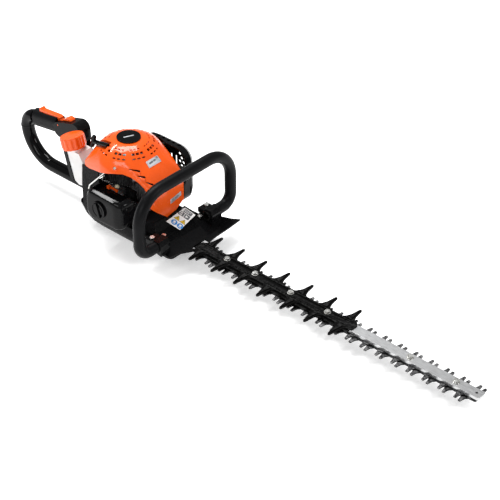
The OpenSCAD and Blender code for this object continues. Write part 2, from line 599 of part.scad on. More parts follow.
// ---------- cutting set ----------
function tooth(x, s) = let (y = blade_w / 2) [[x - 9, s * 12], [x - 4.6, s * 17], [x - 3.4, s * 22],
  [x - 2.6, s * (y - 0.8)], [x - 1.8, s * y], [x + 1.8, s * y], [x + 2.6, s * (y - 0.8)],
  [x + 3.4, s * 22], [x + 4.6, s * 17], [x + 9, s * 12]];
first_x = bar_tip - 34 - (teeth - 1) * tooth_pitch;
module blade(off, z) difference() {
  translate([off, 0, z]) linear_extrude(blade_t) polygon(concat(
    [[gear_x + 10, -11], [first_x - 16, -11], [first_x - 12, -12]],
    [for (i = [0:teeth - 1]) each tooth(first_x + i * tooth_pitch, -1)],
    [[bar_tip - 10.5, -12], [bar_tip - 8.8, 8]],
    [for (i = [teeth - 1:-1:0]) let (t = tooth(first_x + (i + 0.5) * tooth_pitch, 1))
      each [for (k = [9:-1:0]) t[k]]],
    [[first_x - 12, 12], [first_x - 16, 11], [gear_x + 10, 11]]));
  for (x = bolt_x) translate([off + x, 0, z - 1]) slot(bolt_r + 0.3, blade_stroke / 2);
  translate([off + gear_x, 0, z - 1]) slot(5.4, blade_stroke / 2);
}
module slot(r, e) { for (s = [-1, 1]) translate([s * e, 0, 0]) cylinder(r = r, h = 10);
  translate([-e, -r, 0]) cube([2 * e, 2 * r, 10]); }
module blade_eye(off, z) translate([off + gear_x, 0, z]) difference() {
  cylinder(r = 21, h = blade_t, $fn = 64);
  translate([0, 0, -1]) slot(5.4, blade_stroke / 2);
}
module upper_blade() color("#3c3f43") { blade(-rest_off, up_z); blade_eye(-rest_off, up_z); }
module lower_blade() color("#34373a") { blade(rest_off, low_z); blade_eye(rest_off, low_z); }
module guide_bar() color("#c4c7ca") difference() {
  translate([0, 0, bar_z]) linear_extrude(bar_t) polygon([[88, -bar_w / 2], [bar_tip - 3, -bar_w / 2],
    [bar_tip, -bar_w / 2 + 3], [bar_tip, bar_w / 2 - 3], [bar_tip - 3, bar_w / 2], [88, bar_w / 2]]);
  for (x = bolt_x) translate([x, 0, 20]) cylinder(r = bolt_r + 0.02, h = 40);
  for (x = [96, 112]) translate([x, 0, 20]) cylinder(r = 3.5, h = 40);
  translate([bar_tip - 12, 0, 20]) cylinder(r = 2.6, h = 40);
}
guard_first = 203.4;
guard_pitch = tooth_pitch * 5 / 3;
function prong(x, s) = let (y = guard_w / 2) [[x - 15, s * 12], [x - 10, s * 16], [x - 5.4, s * 27],
  [x - 2.6, s * (y - 2)], [x - 1, s * y], [x + 1.4, s * y], [x + 3, s * (y - 2)], [x + 5.8, s * 27],
  [x + 10, s * 16], [x + 15, s * 12]];
module blade_guard() color("#0f0f10") difference() {
  union() {
    translate([0, 0, bar_top + 0.1]) linear_extrude(2.8) polygon(concat(
      [[185, -12], [187.4, -12]],
      [for (i = [0:6]) each prong(guard_first + i * guard_pitch, -1)],
      [[572, -12], [577, -7], [577, 7], [572, 12]],
      [for (i = [6:-1:0]) let (t = prong(guard_first + i * guard_pitch, 1))
        each [for (k = [9:-1:0]) t[k]]],
      [[187.4, 12], [185, 12]]));
    // edges that clasp the bar, and ribs along the top
    for (s = [-1, 1]) box(186, s * 12.9 - 1.6, bar_top - 4, 572, s * 12.9 + 1.6, bar_top + 0.2);
    for (s = [-1, 1]) box(188, s * 7 - 0.9, bar_top + 2.8, 560, s * 7 + 0.9, bar_top + 4.6);
    // raised spine along each prong
    for (i = [0:6]) for (s = [-1, 1]) translate([guard_first + i * guard_pitch, 0, bar_top + 2.8])
      linear_extrude(1.6) polygon([[-5, s * 12], [-2, s * 30], [0, s * (guard_w / 2 - 4)],
        [2, s * 30], [5, s * 12]]);
  }
  for (x = [260, 332, 422, 512]) translate([x, 0, 20]) cylinder(r = bolt_r + 0.02, h = 40);
  for (x = [260, 332, 422, 512]) translate([x, 0, bar_top + 2.9]) cylinder(r = 7, h = 10);
}
module blade_bolts() color("#d2d4d6") {
  for (x = bolt_x) translate([x, 0, 0]) {
    translate([0, 0, 18.6]) cylinder(r = bolt_r, h = bar_top - 18.6 + (x < 600 ? 3 : 0.1));
    translate([0, 0, bar_top + (x < 600 ? 3 : 0.1)]) {
      cylinder(r = 6.6, h = 1); translate([0, 0, 1]) cylinder(r = 5.6, h = 3.4, $fn = 6); }
  }
  for (x = [96, 112]) translate([x, 0, bar_z]) { cylinder(r = 3.48, h = 50.1 - bar_z);
    translate([0, 0, 50.1 - bar_z]) cylinder(r = 6, h = 4, $fn = 6); }
}
module blade_nuts() color("#c8cacc") for (x = bolt_x) translate([x, 0, 0]) difference() {
  union() { translate([0, 0, 24]) cylinder(r = 6.8, h = 1.3);
    translate([0, 0, 19.6]) cylinder(r = 6, h = 4.5, $fn = 6); }
  translate([0, 0, 10]) cylinder(r = bolt_r, h = 20);
}
// ---------- hand shield and front loop ----------
module shield_slab(o, t) side(concat([for (p = shield_line) [p[0], p[1] + o]],
  [for (i = [4:-1:0]) [shield_line[i][0], shield_line[i][1] + o - t]]), -140, 140);
module hand_shield() color("#0e0e0f") difference() {
  intersection() {
    shield_slab(0, 3.2);
    translate([0, 0, 10]) linear_extrude(90) polygon([[104.5, -42], [104.5, 45], [119, 51],
      [131, 58], [156, 92], [173, 105], [188, 118], [190.5, 80], [191.5, 41], [194, 22], [194, -8],
      [191, -26], [180, -48], [176, -74], [154, -77], [131, -62]]);
  }
  // notch over the bar, screw holes, room for the two bar bolts
  box(183.5, -19, 20, 210, 19, 60);
  for (p = shield_at) translate([p[0], p[1], 30]) cylinder(r = 2.5, h = 40);
  for (s = [-1, 1]) translate([134, s * (clamp_y + 4), 30]) cylinder(r = 2.5, h = 40);
  translate([112, 0, 40]) cylinder(r = 8, h = 40);
  box(90, -8, 40, 112, 8, 80);
}
module warning_label() color("#f2f2f0") intersection() {
  shield_slab(0.55, 0.5);
  translate([0, 0, 10]) linear_extrude(90) polygon([[112, -16], [139, -5], [130, 49], [108, 42]]);
}
module arc_y(cy, cz, r, a0, a1, tr) { // bend in the plane of the front loop
  translate([front_x, cy, cz]) rotate([90, 0, 90]) rotate([0, 0, a0])
    rotate_extrude(angle = a1 - a0, $fn = 64) translate([r, 0]) circle(r = tr, $fn = 40); }
module front_path(tr, ends) {
  for (s = [-1, 1]) {
    translate([front_x, s > 0 ? ends : -103, foot_z]) ycyl(tr, 103 - ends);
    arc_y(s * 103, foot_z + 25, 25, s > 0 ? 270 : 180, s > 0 ? 360 : 270, tr);
    translate([front_x, s * loop_half, foot_z + 25]) cylinder(r = tr, h = loop_top - loop_corner
      - foot_z - 25, $fn = 40);
    arc_y(s * (loop_half - loop_corner), loop_top - loop_corner, loop_corner, s > 0 ? 0 : 90,
      s > 0 ? 90 : 180, tr);
  }
  translate([front_x, -(loop_half - loop_corner), loop_top]) ycyl(tr, 2 * (loop_half - loop_corner));
}
module front_handle() color("#1f1f21") difference() { front_path(tube_r, 56);
  for (s = [-1, 1]) translate([front_x, s * 74 - 20, foot_z]) ycyl(tube_r - 2, 40); }
module front_grip() color("#18191a") difference() { front_path(sleeve_r, clamp_y + 14);
  front_path(tube_r + 0.03, 60); }
module handle_clamps() color("#161617") for (s = [-1, 1]) difference() {
  side([[126, sh(126) + 0.1], [140, sh(140) + 0.1], [155, sh(155) + 0.1], [166, sh(166) + 0.3],
    [166, 68], [160, 76], [146, 76], [140, 71], [126, 71]], s * clamp_y - 13, s * clamp_y + 13);
  translate([front_x, s * clamp_y - 20, foot_z]) ycyl(tube_r + 0.03, 40);
  translate([134, s * (clamp_y + 4), 30]) cylinder(r = 2.5, h = 60);
  // bright slot seen on the outer face
  box(158, s * clamp_y - 20, 60.5, 162, s * clamp_y + 20, 65.5);
}
module case_screws() color("#b4b7ba") {
  for (s = [-1, 1]) translate([134, s * (clamp_y + 4), 0]) {
    translate([0, 0, 38]) cylinder(r = 2.48, h = 33.2);
    translate([0, 0, 71.1]) cylinder(r = 5, h = 3); }
  for (p = shield_at) translate([p[0], p[1], 0]) {
    translate([0, 0, 38]) cylinder(r = 2.48, h = 24);
    translate([0, 0, sh(p[0]) + 2.6]) cylinder(r = 4.6, h = 2.6); }
  for (s = [-1, 1]) for (x = [20, 66]) translate([x, s * 34, 2]) { cylinder(r = 2.48, h = 9.9); }
  for (s = [-1, 1]) translate([-106, s * 15, 46]) { xcyl(2.48, 14); translate([-2.5, 0, 0]) xcyl(4.6, 4); }
}
// ---------- tank and rear handle ----------
tank_side = [[-126, 149], [-108, 88], [-96, 82], [-80, 84.5], [-83, 110], [-80, 138], [-92, 156],
  [-118, 156]];
module tank_low(o) side([[-117 + o, 126 - o], [-108 + o, 90 + o], [-96 + o, 82 + o],
  [-80 - o, 85 + o], [-83 - o, 110], [-81 - o, 126 - o]], -52 + o, 40 - o);
module tank_high(o) side([[-126 + o, 149 - o * 0.4], [-108 + o, 88 + o], [-96 + o, 82 + o],
  [-80 - o, 85 + o], [-83 - o, 110], [-80 - o, 138], [-92 - o * 0.4, 156 - o], [-118 + o * 0.3,
  156 - o]], -52 + o, -17 - o);
module at_cap() { translate([-112, -41, 150]) rotate([0, -16, 0]) children(); }
module fuel_tank() color("#eceae6") difference() {
  union() { tank_low(0); tank_high(0); at_cap() cylinder(r = 12, h = 17); 
    intersection() { at_cap() cylinder(r = 15, h = 9); box(-140, -52, 140, -80, -17, 170); } }
  tank_low(2.4); tank_high(2.4);
  at_cap() translate([0, 0, -3]) cylinder(r = 9.6, h = 30);
}
module fuel_cap() color("#e8601c") at_cap() translate([0, 0, 9.6]) difference() {
  union() {
    cylinder(r = cap_r - 1.4, h = cap_h, $fn = 72);
    translate([0, 0, 3]) for (k = [0:13]) rotate([0, 0, k * 360 / 14]) translate([cap_r - 5, 0, 0])
      cylinder(r = 5, h = cap_h - 4.5);
  }
  translate([0, 0, -1]) cylinder(r = 15.6, h = 3);
  translate([0, 0, -1]) cylinder(r = 12.1, h = 9.5);
}
module fuel_line() color("#c9a23c") {
  seg([-96, -34, 94], [-104, -34, 120], 2);
  seg([-104, -34, 120], [-96, -30, 140], 2);
  translate([-96, -34, 92]) sphere(r = 4.4, $fn = 24);
}
module handle_core() {
  // lower tube, the two rear bends and the core of the grip
  translate([-206, 0, 46]) xcyl(rear_r, 105);
  translate([arc_x, 0, 46]) xcyl(rear_r, 27);
  translate([arc_x, 0, arc_z]) rotate([90, 0, 0]) rotate([0, 0, 180])
    rotate_extrude(angle = 90, $fn = 72) translate([arc_r, 0]) circle(r = rear_r);
  translate([-274, 0, arc_z]) rotate([90, 0, 0]) rotate([0, 0, 90 + grip_slope])
    rotate_extrude(angle = 90 - grip_slope, $fn = 64) translate([30, 0]) circle(r = rear_r);
  translate([-274 - 30 * sin(grip_slope), 0, arc_z + 30 * cos(grip_slope)])
    rotate([0, -grip_slope, 0]) xcyl(11, 86);
  // raised ring where the two bends meet
  translate([-304, 0, arc_z - 2]) cylinder(r = rear_r + 0.6, h = 4);
}
arc_top = [-274 - 30 * sin(grip_slope), arc_z + 30 * cos(grip_slope)];
function along(d, up) = [arc_top[0] + d * cos(grip_slope) - up * sin(grip_slope),
  arc_top[1] + d * sin(grip_slope) + up * cos(grip_slope)];
module at_grip(d, up) { p = along(d, up); translate([p[0], 0, p[1]]) rotate([0, -grip_slope, 0])
  children(); }
module handle_head(o) hull() {
  translate([-144, -15.5 + o, 170]) ycyl(17 - o, 31 - 2 * o);
  translate([-188, -15.5 + o, 157]) ycyl(17 - o, 31 - 2 * o);
  translate([-134, -15.5 + o, 150]) ycyl(8 - o, 31 - 2 * o);
}
module rear_handle() color("#121213") difference() {
  union() {
    handle_core();
    handle_head(0);
    // front leg behind the tank, and the plate that the tank leans on
    side([[-149, 162], [-130, 162], [-128.4, 149], [-134, 128], [-134, 90], [-128, 62], [-122, 50],
      [-170, 50], [-158, 66], [-150, 90], [-148, 128]], -11, 11);
    side([[-137, 152], [-127, 150.6], [-110.6, 92], [-110.6, 86], [-119, 86]], -53.5, 12);
    // foot flange on the base
    box(-101, -22, 29, -96.1, 22, 63);
  }
  handle_head(2.6);
  // slots for the trigger, the lockout and the stop switch
  box(-207, -5.6, 120, -152, 5.6, 168);
  box(-211, -5.8, 161, -185, 5.8, 195);
  for (s = [-1, 1]) { translate([-104, s * 15, 46]) xcyl(2.5, 12);
    translate([-110, s * 15, 46]) xcyl(5, 6); }
  at_cap() translate([0, 0, -3]) cylinder(r = 15.3, h = 15);
  translate([-158, -20, 156]) ycyl(2.6, 40);
  translate([-192, -20, 167]) ycyl(2.1, 40);
}
module rear_grip() color("#26272a") difference() {
  at_grip(8, 0) hull() { for (u = [-4, 5]) translate([0, 0, u]) xcyl(15, 72); }
  at_grip(0, 0) xcyl(11.05, 90);
  at_grip(-10, 0) box(0, -30, -30, 18, 30, 30);
  at_grip(24, 14.4) box(0, -6.8, 0, 60, 6.8, 12);
  box(-214, -5.6, 120, -190, 5.6, 152);
  box(-211, -5.8, 161, -185, 5.8, 195);
  handle_head(-0.05);
}
module throttle_trigger() color("#0d0d0e") difference() {
  union() {
    side([[-155, 160], [-163, 160], [-172, 152], [-196, 144], [-200, 138], [-197, 132], [-190, 130],
      [-182, 133], [-172, 134], [-160, 140], [-154, 152]], -5, 5);
    translate([-158, -15, 156]) ycyl(2.5, 30);
  }
}
module trigger_lockout() color("#e8601c") {
  at_grip(25.5, 19.2) side([[0, 0], [59, -4], [61, -1], [57, 1.6], [8, 4], [3, 8.5], [0, 7]], -6, 6);
  side([[-207, 173.6], [-198, 177.2], [-189, 170], [-189, 164.5], [-195, 163], [-199, 168]], -5, 5);
  translate([-192, -15, 167]) ycyl(2, 30);
}
// the switch slides along the sloping top of the handle head
switch_slope = atan2(13, 44);
module stop_switch() color("#e8601c") translate([-188, 0, 157]) rotate([0, -switch_slope, 0])
  side([[8, 17.3], [34, 17.3], [32, 22], [28, 24.5], [22, 25], [18, 22.6], [10, 21.4]], -7, 7);

put() engine_cover();
put() starter_badge();
put() cover_labels();
put() fan_housing();
put() starter_pulley();
put() recoil_spring();
put() starter_rope();
put() starter_grip();
put() flywheel();
put() ignition_coil();
put() plug_cap();
put() spark_plug();
put() engine_cylinder();  // cylinder
put() piston();
put() piston_pin();
put() connecting_rod();
put() crank_pin();
put() crankcase();
put() upper_crank_half();
put() lower_crank_half();
put() crank_bearings();
put() intake_block();
put() carburetor();
put() throttle_lever();
put() choke_lever();
put() primer_bulb();
put() throttle_cable();
put() air_filter_base();
put() air_filter_element();
put() air_filter_cover();
put() filter_knob();
put() muffler();
put() muffler_guard();
put() clutch_shoes();
put() clutch_drum();
put() drive_gear();
put() gear_bearings();
put() gear_case();
put() gear_case_cover();
put() base_housing();
put() upper_blade();
put() lower_blade();
put() guide_bar();
put() blade_guard();
put() blade_bolts();
put() blade_nuts();
put() hand_shield();
put() warning_label();
put() front_handle();
put() front_grip();
put() handle_clamps();
put() case_screws();
put() fuel_tank();
put() fuel_cap();
put() fuel_line();
put() rear_handle();
put() rear_grip();
put() throttle_trigger();
put() trigger_lockout();
put() stop_switch();
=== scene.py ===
import bpy
import bmesh
import json
import math
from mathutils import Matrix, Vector
from mathutils.bvhtree import BVHTree


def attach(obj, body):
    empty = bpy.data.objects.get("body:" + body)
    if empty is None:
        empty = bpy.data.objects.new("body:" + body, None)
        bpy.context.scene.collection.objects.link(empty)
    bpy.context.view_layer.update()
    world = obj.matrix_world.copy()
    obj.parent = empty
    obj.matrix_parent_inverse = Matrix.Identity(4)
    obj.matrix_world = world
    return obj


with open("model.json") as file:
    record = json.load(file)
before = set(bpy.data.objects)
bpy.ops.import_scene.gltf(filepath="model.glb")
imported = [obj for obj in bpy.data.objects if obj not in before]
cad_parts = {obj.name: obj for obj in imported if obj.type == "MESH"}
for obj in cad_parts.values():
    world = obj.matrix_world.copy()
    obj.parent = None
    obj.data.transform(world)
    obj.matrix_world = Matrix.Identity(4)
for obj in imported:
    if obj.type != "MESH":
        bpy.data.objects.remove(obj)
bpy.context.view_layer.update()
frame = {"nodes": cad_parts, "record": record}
nodes = frame["nodes"]
scene = bpy.context.scene
SHIFT = 0.272  # the crank axis stands this far behind the middle of the box


def mp(x, y, z):
    """Point given in millimetres from the crank axis, in the row frame."""
    return Vector((x / 1000 - SHIFT, y / 1000, z / 1000))


# ---------------------------------------------------------------- materials
class Nodes:
    """Small helper round a material's node tree."""

    def __init__(self, name):
        self.m = bpy.data.materials.new(name)
        self.m.use_nodes = True
        self.t = self.m.node_tree
        self.t.nodes.clear()
        out = self.t.nodes.new("ShaderNodeOutputMaterial")
        self.bsdf = self.t.nodes.new("ShaderNodeBsdfPrincipled")
        self.t.links.new(self.bsdf.outputs[0], out.inputs[0])
        self.co = self.t.nodes.new("ShaderNodeTexCoord").outputs["Object"]

    def add(self, kind):
        return self.t.nodes.new(kind)

    def link(self, a, b):
        self.t.links.new(a, b)

    def stretched(self, stretch):
        n = self.add("ShaderNodeMapping")
        n.inputs["Scale"].default_value = stretch
        self.link(self.co, n.inputs["Vector"])
        return n.outputs[0]

    def noise(self, scale, detail=4.0, rough=0.55, stretch=(1, 1, 1)):
        n = self.add("ShaderNodeTexNoise")
        n.inputs["Scale"].default_value = scale
        n.inputs["Detail"].default_value = detail
        n.inputs["Roughness"].default_value = rough
        self.link(self.stretched(stretch), n.inputs["Vector"])
        return n.outputs["Fac"]

    def voronoi(self, scale):
        n = self.add("ShaderNodeTexVoronoi")
        n.inputs["Scale"].default_value = scale
        self.link(self.co, n.inputs["Vector"])
        return n.outputs["Distance"]

    def span(self, value, a, b, lo=0.0, hi=1.0):
        """Value from a to b, spread and clamped over lo to hi."""
        n = self.add("ShaderNodeMapRange")
        n.inputs["From Min"].default_value = a
        n.inputs["From Max"].default_value = b
        n.inputs["To Min"].default_value = lo
        n.inputs["To Max"].default_value = hi
        self.link(value, n.inputs["Value"])
        return n.outputs[0]

    def blend(self, fac, a, b):
        """Colour a where fac is 0, colour b where it is 1."""
        n = self.add("ShaderNodeMix")
        n.data_type = "RGBA"
        self.link(fac, n.inputs[0])
        for sock, c in ((n.inputs[6], a), (n.inputs[7], b)):
            if isinstance(c, (tuple, list)):
                sock.default_value = (*c[:3], 1)
            else:
                self.link(c, sock)
        return n.outputs[2]

    def product(self, a, b):
        n = self.add("ShaderNodeMath")
        n.operation = "MULTIPLY"
        for i, v in enumerate((a, b)):
            if isinstance(v, (int, float)):
                n.inputs[i].default_value = v
            else:
                self.link(v, n.inputs[i])
        return n.outputs[0]

    def bump(self, height, strength, distance, normal=None):
        n = self.add("ShaderNodeBump")
        n.inputs["Strength"].default_value = strength
        n.inputs["Distance"].default_value = distance
        self.link(height, n.inputs["Height"])
        if normal is not None:
            self.link(normal, n.inputs["Normal"])
        return n.outputs[0]

    def worn_edges(self):
        """1 on convex edges, 0 elsewhere, broken up by noise."""
        g = self.add("ShaderNodeNewGeometry").outputs["Pointiness"]
        edge = self.span(g, 0.52, 0.56)
        return self.product(edge, self.span(self.noise(260), 0.4, 0.62))


DUST_GREY = (0.30, 0.29, 0.27)
COAT_ROUGHNESS = 0.05


def plastic(name, base, dark, rough=(0.25, 0.35), grain=0.0, grain_scale=2600, wear=0.0,
            wear_colour=(0.5, 0.5, 0.5), coat=0.0, dust=0.0, spec=0.5):
    """Moulded plastic or rubber: two tones, fine grain, dust and rubbed edges."""
    n = Nodes(name)
    tone = n.span(n.noise(22, 5), 0.35, 0.65)
    colour = n.blend(tone, dark, base)
    if dust:
        spots = n.span(n.noise(90, 8, 0.7), 0.56, 0.75, 0, dust)
        colour = n.blend(spots, colour, DUST_GREY)
    if wear:
        colour = n.blend(n.product(n.worn_edges(), wear), colour, wear_colour)
    n.link(colour, n.bsdf.inputs["Base Color"])
    n.link(n.span(n.noise(55, 6, 0.6), 0.3, 0.7, *rough), n.bsdf.inputs["Roughness"])
    n.bsdf.inputs["Specular IOR Level"].default_value = spec
    if coat:
        n.bsdf.inputs["Coat Weight"].default_value = coat
        n.bsdf.inputs["Coat Roughness"].default_value = COAT_ROUGHNESS
    wave = n.bump(n.noise(60, 2), 0.05, 0.0006)
    if grain:
        wave = n.bump(n.voronoi(grain_scale), grain, 0.00012, wave)
    n.link(wave, n.bsdf.inputs["Normal"])
    return n.m


def metal(name, base, dark, rough=(0.2, 0.4), brush=(1, 1, 1), brush_scale=900, stain=None,
          stain_amount=0.0, bump=0.15, metallic=1.0, wear=0.0, wear_colour=(0.7, 0.7, 0.7)):
    """Metal with brushed or cast marks, stains and rubbed edges."""
    n = Nodes(name)
    lines = n.noise(brush_scale, 6, 0.7, brush)
    colour = n.blend(n.span(lines, 0.35, 0.65), dark, base)
    if stain:
        colour = n.blend(n.span(n.noise(38, 7, 0.65), 0.5, 0.72, 0, stain_amount), colour, stain)
    if wear:
        colour = n.blend(n.product(n.worn_edges(), wear), colour, wear_colour)
    n.link(colour, n.bsdf.inputs["Base Color"])
    n.bsdf.inputs["Metallic"].default_value = metallic
    n.link(n.span(lines, 0.3, 0.7, *rough), n.bsdf.inputs["Roughness"])
    n.link(n.bump(lines, bump, 0.0001), n.bsdf.inputs["Normal"])
    return n.m


MAT = {}
MAT["orange_plastic"] = plastic("orange_plastic", (0.80, 0.094, 0.008), (0.72, 0.080, 0.006),
                                rough=(0.2, 0.3), coat=0.45, spec=0.1)
MAT["black_gloss"] = plastic("black_gloss", (0.003, 0.003, 0.0034), (0.0018, 0.0018, 0.002),
                             rough=(0.12, 0.22), wear=0.1, wear_colour=(0.05, 0.05, 0.05),
                             coat=0.2, spec=0.02)
MAT["black_matte"] = plastic("black_matte", (0.0035, 0.0035, 0.004), (0.002, 0.002, 0.0024),
                             rough=(0.26, 0.4), grain=0.4, grain_scale=1500, wear=0.2,
                             wear_colour=(0.05, 0.05, 0.05), dust=0.008, coat=0.06, spec=0.02)
MAT["grip_rubber"] = plastic("grip_rubber", (0.0055, 0.0057, 0.0064), (0.003, 0.0031, 0.0036),
                             rough=(0.34, 0.44), grain=0.6, grain_scale=900, dust=0.01, spec=0.07)
MAT["black_rubber"] = plastic("black_rubber", (0.006, 0.006, 0.0065), (0.004, 0.004, 0.004),
                              rough=(0.5, 0.65), grain=0.3, grain_scale=1200, spec=0.08)
MAT["blade_steel"] = metal("blade_steel", (0.030, 0.030, 0.032), (0.010, 0.010, 0.011),
                           rough=(0.3, 0.46), brush=(0.12, 1, 1), wear=0.8,
                           wear_colour=(0.36, 0.36, 0.36))
MAT["bar_steel"] = metal("bar_steel", (0.60, 0.605, 0.61), (0.45, 0.455, 0.46), rough=(0.26, 0.42),
                         brush=(0.06, 1, 1), stain=(0.42, 0.40, 0.37), stain_amount=0.25)
MAT["guard_black"] = plastic("guard_black", (0.0024,) * 3, (0.0014,) * 3,
                             rough=(0.26, 0.4), grain=0.15, grain_scale=700, wear=0.35,
                             wear_colour=(0.08, 0.08, 0.08), spec=0.03)
MAT["zinc_steel"] = metal("zinc_steel", (0.74, 0.74, 0.72), (0.52, 0.52, 0.50), rough=(0.2, 0.36),
                          brush_scale=300, stain=(0.5, 0.46, 0.36), stain_amount=0.3)
MAT["machined_steel"] = metal("machined_steel", (0.55, 0.55, 0.56), (0.36, 0.36, 0.37),
                              rough=(0.18, 0.32), brush_scale=500)
MAT["cast_alloy"] = metal("cast_alloy", (0.50, 0.50, 0.51), (0.30, 0.30, 0.31), rough=(0.38, 0.58),
                          brush_scale=420, bump=0.5, stain=(0.22, 0.2, 0.18), stain_amount=0.5)
MAT["dark_alloy"] = metal("dark_alloy", (0.045, 0.045, 0.048), (0.02, 0.02, 0.022),
                          rough=(0.36, 0.55), brush_scale=520, bump=0.45, metallic=0.6)
MAT["exhaust_steel"] = metal("exhaust_steel", (0.28, 0.25, 0.22), (0.12, 0.10, 0.09),
                             rough=(0.4, 0.62), brush_scale=160, stain=(0.20, 0.12, 0.07),
                             stain_amount=0.7, bump=0.3)
MAT["clutch_lining"] = metal("clutch_lining", (0.20, 0.18, 0.16), (0.10, 0.09, 0.08),
                             rough=(0.6, 0.8), brush_scale=700, bump=0.6, metallic=0.7)
MAT["porcelain"] = plastic("porcelain", (0.80, 0.78, 0.72), (0.70, 0.68, 0.62), rough=(0.12, 0.25))
MAT["filter_felt"] = plastic("filter_felt", (0.60, 0.50, 0.28), (0.42, 0.34, 0.18),
                             rough=(0.85, 0.95), grain=0.9, grain_scale=500)
MAT["rope_nylon"] = plastic("rope_nylon", (0.72, 0.69, 0.62), (0.45, 0.42, 0.38),
                            rough=(0.7, 0.8), grain=0.9, grain_scale=600)
MAT["primer_plastic"] = plastic("primer_plastic", (0.76, 0.70, 0.52), (0.66, 0.60, 0.42),
                                rough=(0.2, 0.3))
MAT["label_white"] = plastic("label_white", (0.86, 0.86, 0.85), (0.80, 0.80, 0.79),
                             rough=(0.24, 0.34))
MAT["label_silver"] = metal("label_silver", (0.55, 0.57, 0.60), (0.42, 0.44, 0.47),
                            rough=(0.3, 0.42), brush_scale=260, bump=0.05, metallic=0.7)

# milky tank, the only surface that light passes into
tank = Nodes("tank_plastic")
tone = tank.blend(tank.span(tank.noise(16, 4), 0.35, 0.65), (0.62, 0.61, 0.60),
                  (0.72, 0.715, 0.71))
tank.link(tone, tank.bsdf.inputs["Base Color"])
tank.link(tank.span(tank.noise(70, 6), 0.3, 0.7, 0.34, 0.5), tank.bsdf.inputs["Roughness"])
tank.link(tank.bump(tank.voronoi(900), 0.25, 0.00015), tank.bsdf.inputs["Normal"])
tank.bsdf.inputs["Subsurface Weight"].default_value = 0.35
tank.bsdf.inputs["Subsurface Radius"].default_value = (0.004, 0.004, 0.0035)
MAT["tank_plastic"] = tank.m

# ------------------------------------------------- the frame's own surfaces
SLOT = {p["node"]: p["material_slot"] for p in frame["record"]["subparts"]}
EDGE = {  # rounding of the edges that can be seen, in millimetres
    "engine_cover": 0.9, "base_housing": 1.0, "hand_shield": 0.8, "air_filter_cover": 0.8,
    "muffler_guard": 0.9, "rear_handle": 1.0, "rear_grip": 1.6, "handle_clamps": 1.0,
    "fuel_tank": 2.0, "fuel_cap": 0.8, "gear_case": 1.0, "guide_bar": 0.4, "upper_blade": 0.25,
    "lower_blade": 0.25, "blade_guard": 0.5, "throttle_trigger": 1.2, "trigger_lockout": 1.2,
    "stop_switch": 1.0, "starter_grip": 1.2, "starter_badge": 0.5, "carburetor": 0.5,
    "filter_knob": 0.6, "front_grip": 0.8, "fan_housing": 0.6, "gear_case_cover": 0.6,
}
EDGE_DEFAULT = 0.3
WELD_GAP = 0.00001  # m
FLAT_WITHIN = math.radians(0.6)
SHARP_FROM = math.radians(32)


def finish_node(o, name):
    """Material, and rounded edges on top of the CAD mesh."""
    o.data.materials.clear()
    o.data.materials.append(MAT[SLOT[name]])
    for p in o.data.polygons:
        p.use_smooth = True
    weld = o.modifiers.new("weld", "WELD")
    weld.merge_threshold = WELD_GAP
    flat = o.modifiers.new("flat", "DECIMATE")
    flat.decimate_type = "DISSOLVE"
    flat.angle_limit = FLAT_WITHIN
    bev = o.modifiers.new("edges", "BEVEL")
    bev.limit_method = "ANGLE"
    bev.angle_limit = SHARP_FROM
    bev.width = EDGE.get(name, EDGE_DEFAULT) / 1000
    bev.segments = 2
    weighted = o.modifiers.new("shade", "WEIGHTED_NORMAL")
    weighted.keep_sharp = True


for name, o in nodes.items():
    finish_node(o, name)


# ------------------------------------------------------------ added details
def simple(name, base, rough=0.35, metallic=0.0):
    """Printed ink."""
    n = Nodes(name)
    dark = tuple(c * 0.82 for c in base)
    n.link(n.blend(n.span(n.noise(140, 5), 0.35, 0.65), dark, base), n.bsdf.inputs["Base Color"])
    n.link(n.span(n.noise(200, 4), 0.3, 0.7, rough, rough + 0.14), n.bsdf.inputs["Roughness"])
    n.bsdf.inputs["Metallic"].default_value = metallic
    n.link(n.bump(n.noise(900, 2), 0.04, 0.0001), n.bsdf.inputs["Normal"])
    return n.m


INK = {
    "yellow": simple("ink_yellow", (0.80, 0.52, 0.02)),
    "blue": simple("ink_blue", (0.03, 0.22, 0.60)),
    "black": simple("ink_black", (0.02, 0.02, 0.022)),
    "grey": simple("ink_grey", (0.11, 0.115, 0.125)),
    "silver": simple("ink_silver", (0.62, 0.63, 0.65), 0.3, 0.6),
    "white": simple("ink_white", (0.82, 0.82, 0.81)),
}


def piece(name, bm, material, body="machine", smooth=True):
    """A finished bmesh, in row-frame metres, becomes a piece that rides on a body."""
    mesh = bpy.data.meshes.new(name)
    bm.normal_update()
    bm.to_mesh(mesh)
    bm.free()
    mesh.materials.append(material)
    for f in mesh.polygons:
        f.use_smooth = smooth
    o = bpy.data.objects.new(name, mesh)
    scene.collection.objects.link(o)
    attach(o, body)
    return o


class Frame2:
    """A drawing plane: origin, and unit vectors across, along and out of the surface."""

    def __init__(self, origin, across, along):
        self.o = origin
        self.u = across.normalized()
        self.n = self.u.cross(along).normalized()
        self.v = self.n.cross(self.u)

    def at(self, x, y, z=0.0):
        return self.o + (self.u * x + self.v * y + self.n * z) / 1000


TREES = {}


def tree(node):
    """Ray-casting tree of a CAD node's mesh."""
    if node not in TREES:
        m = nodes[node].data
        TREES[node] = BVHTree.FromPolygons([v.co.copy() for v in m.vertices],
                                           [tuple(p.vertices) for p in m.polygons])
    return TREES[node]


RAY_START = 20  # mm in front of the drawing plane
INK_THICKNESS = 0.10  # mm
GROUND, FIGURE, MARK = 0.10, 0.22, 0.34  # mm of the printed layers above the node


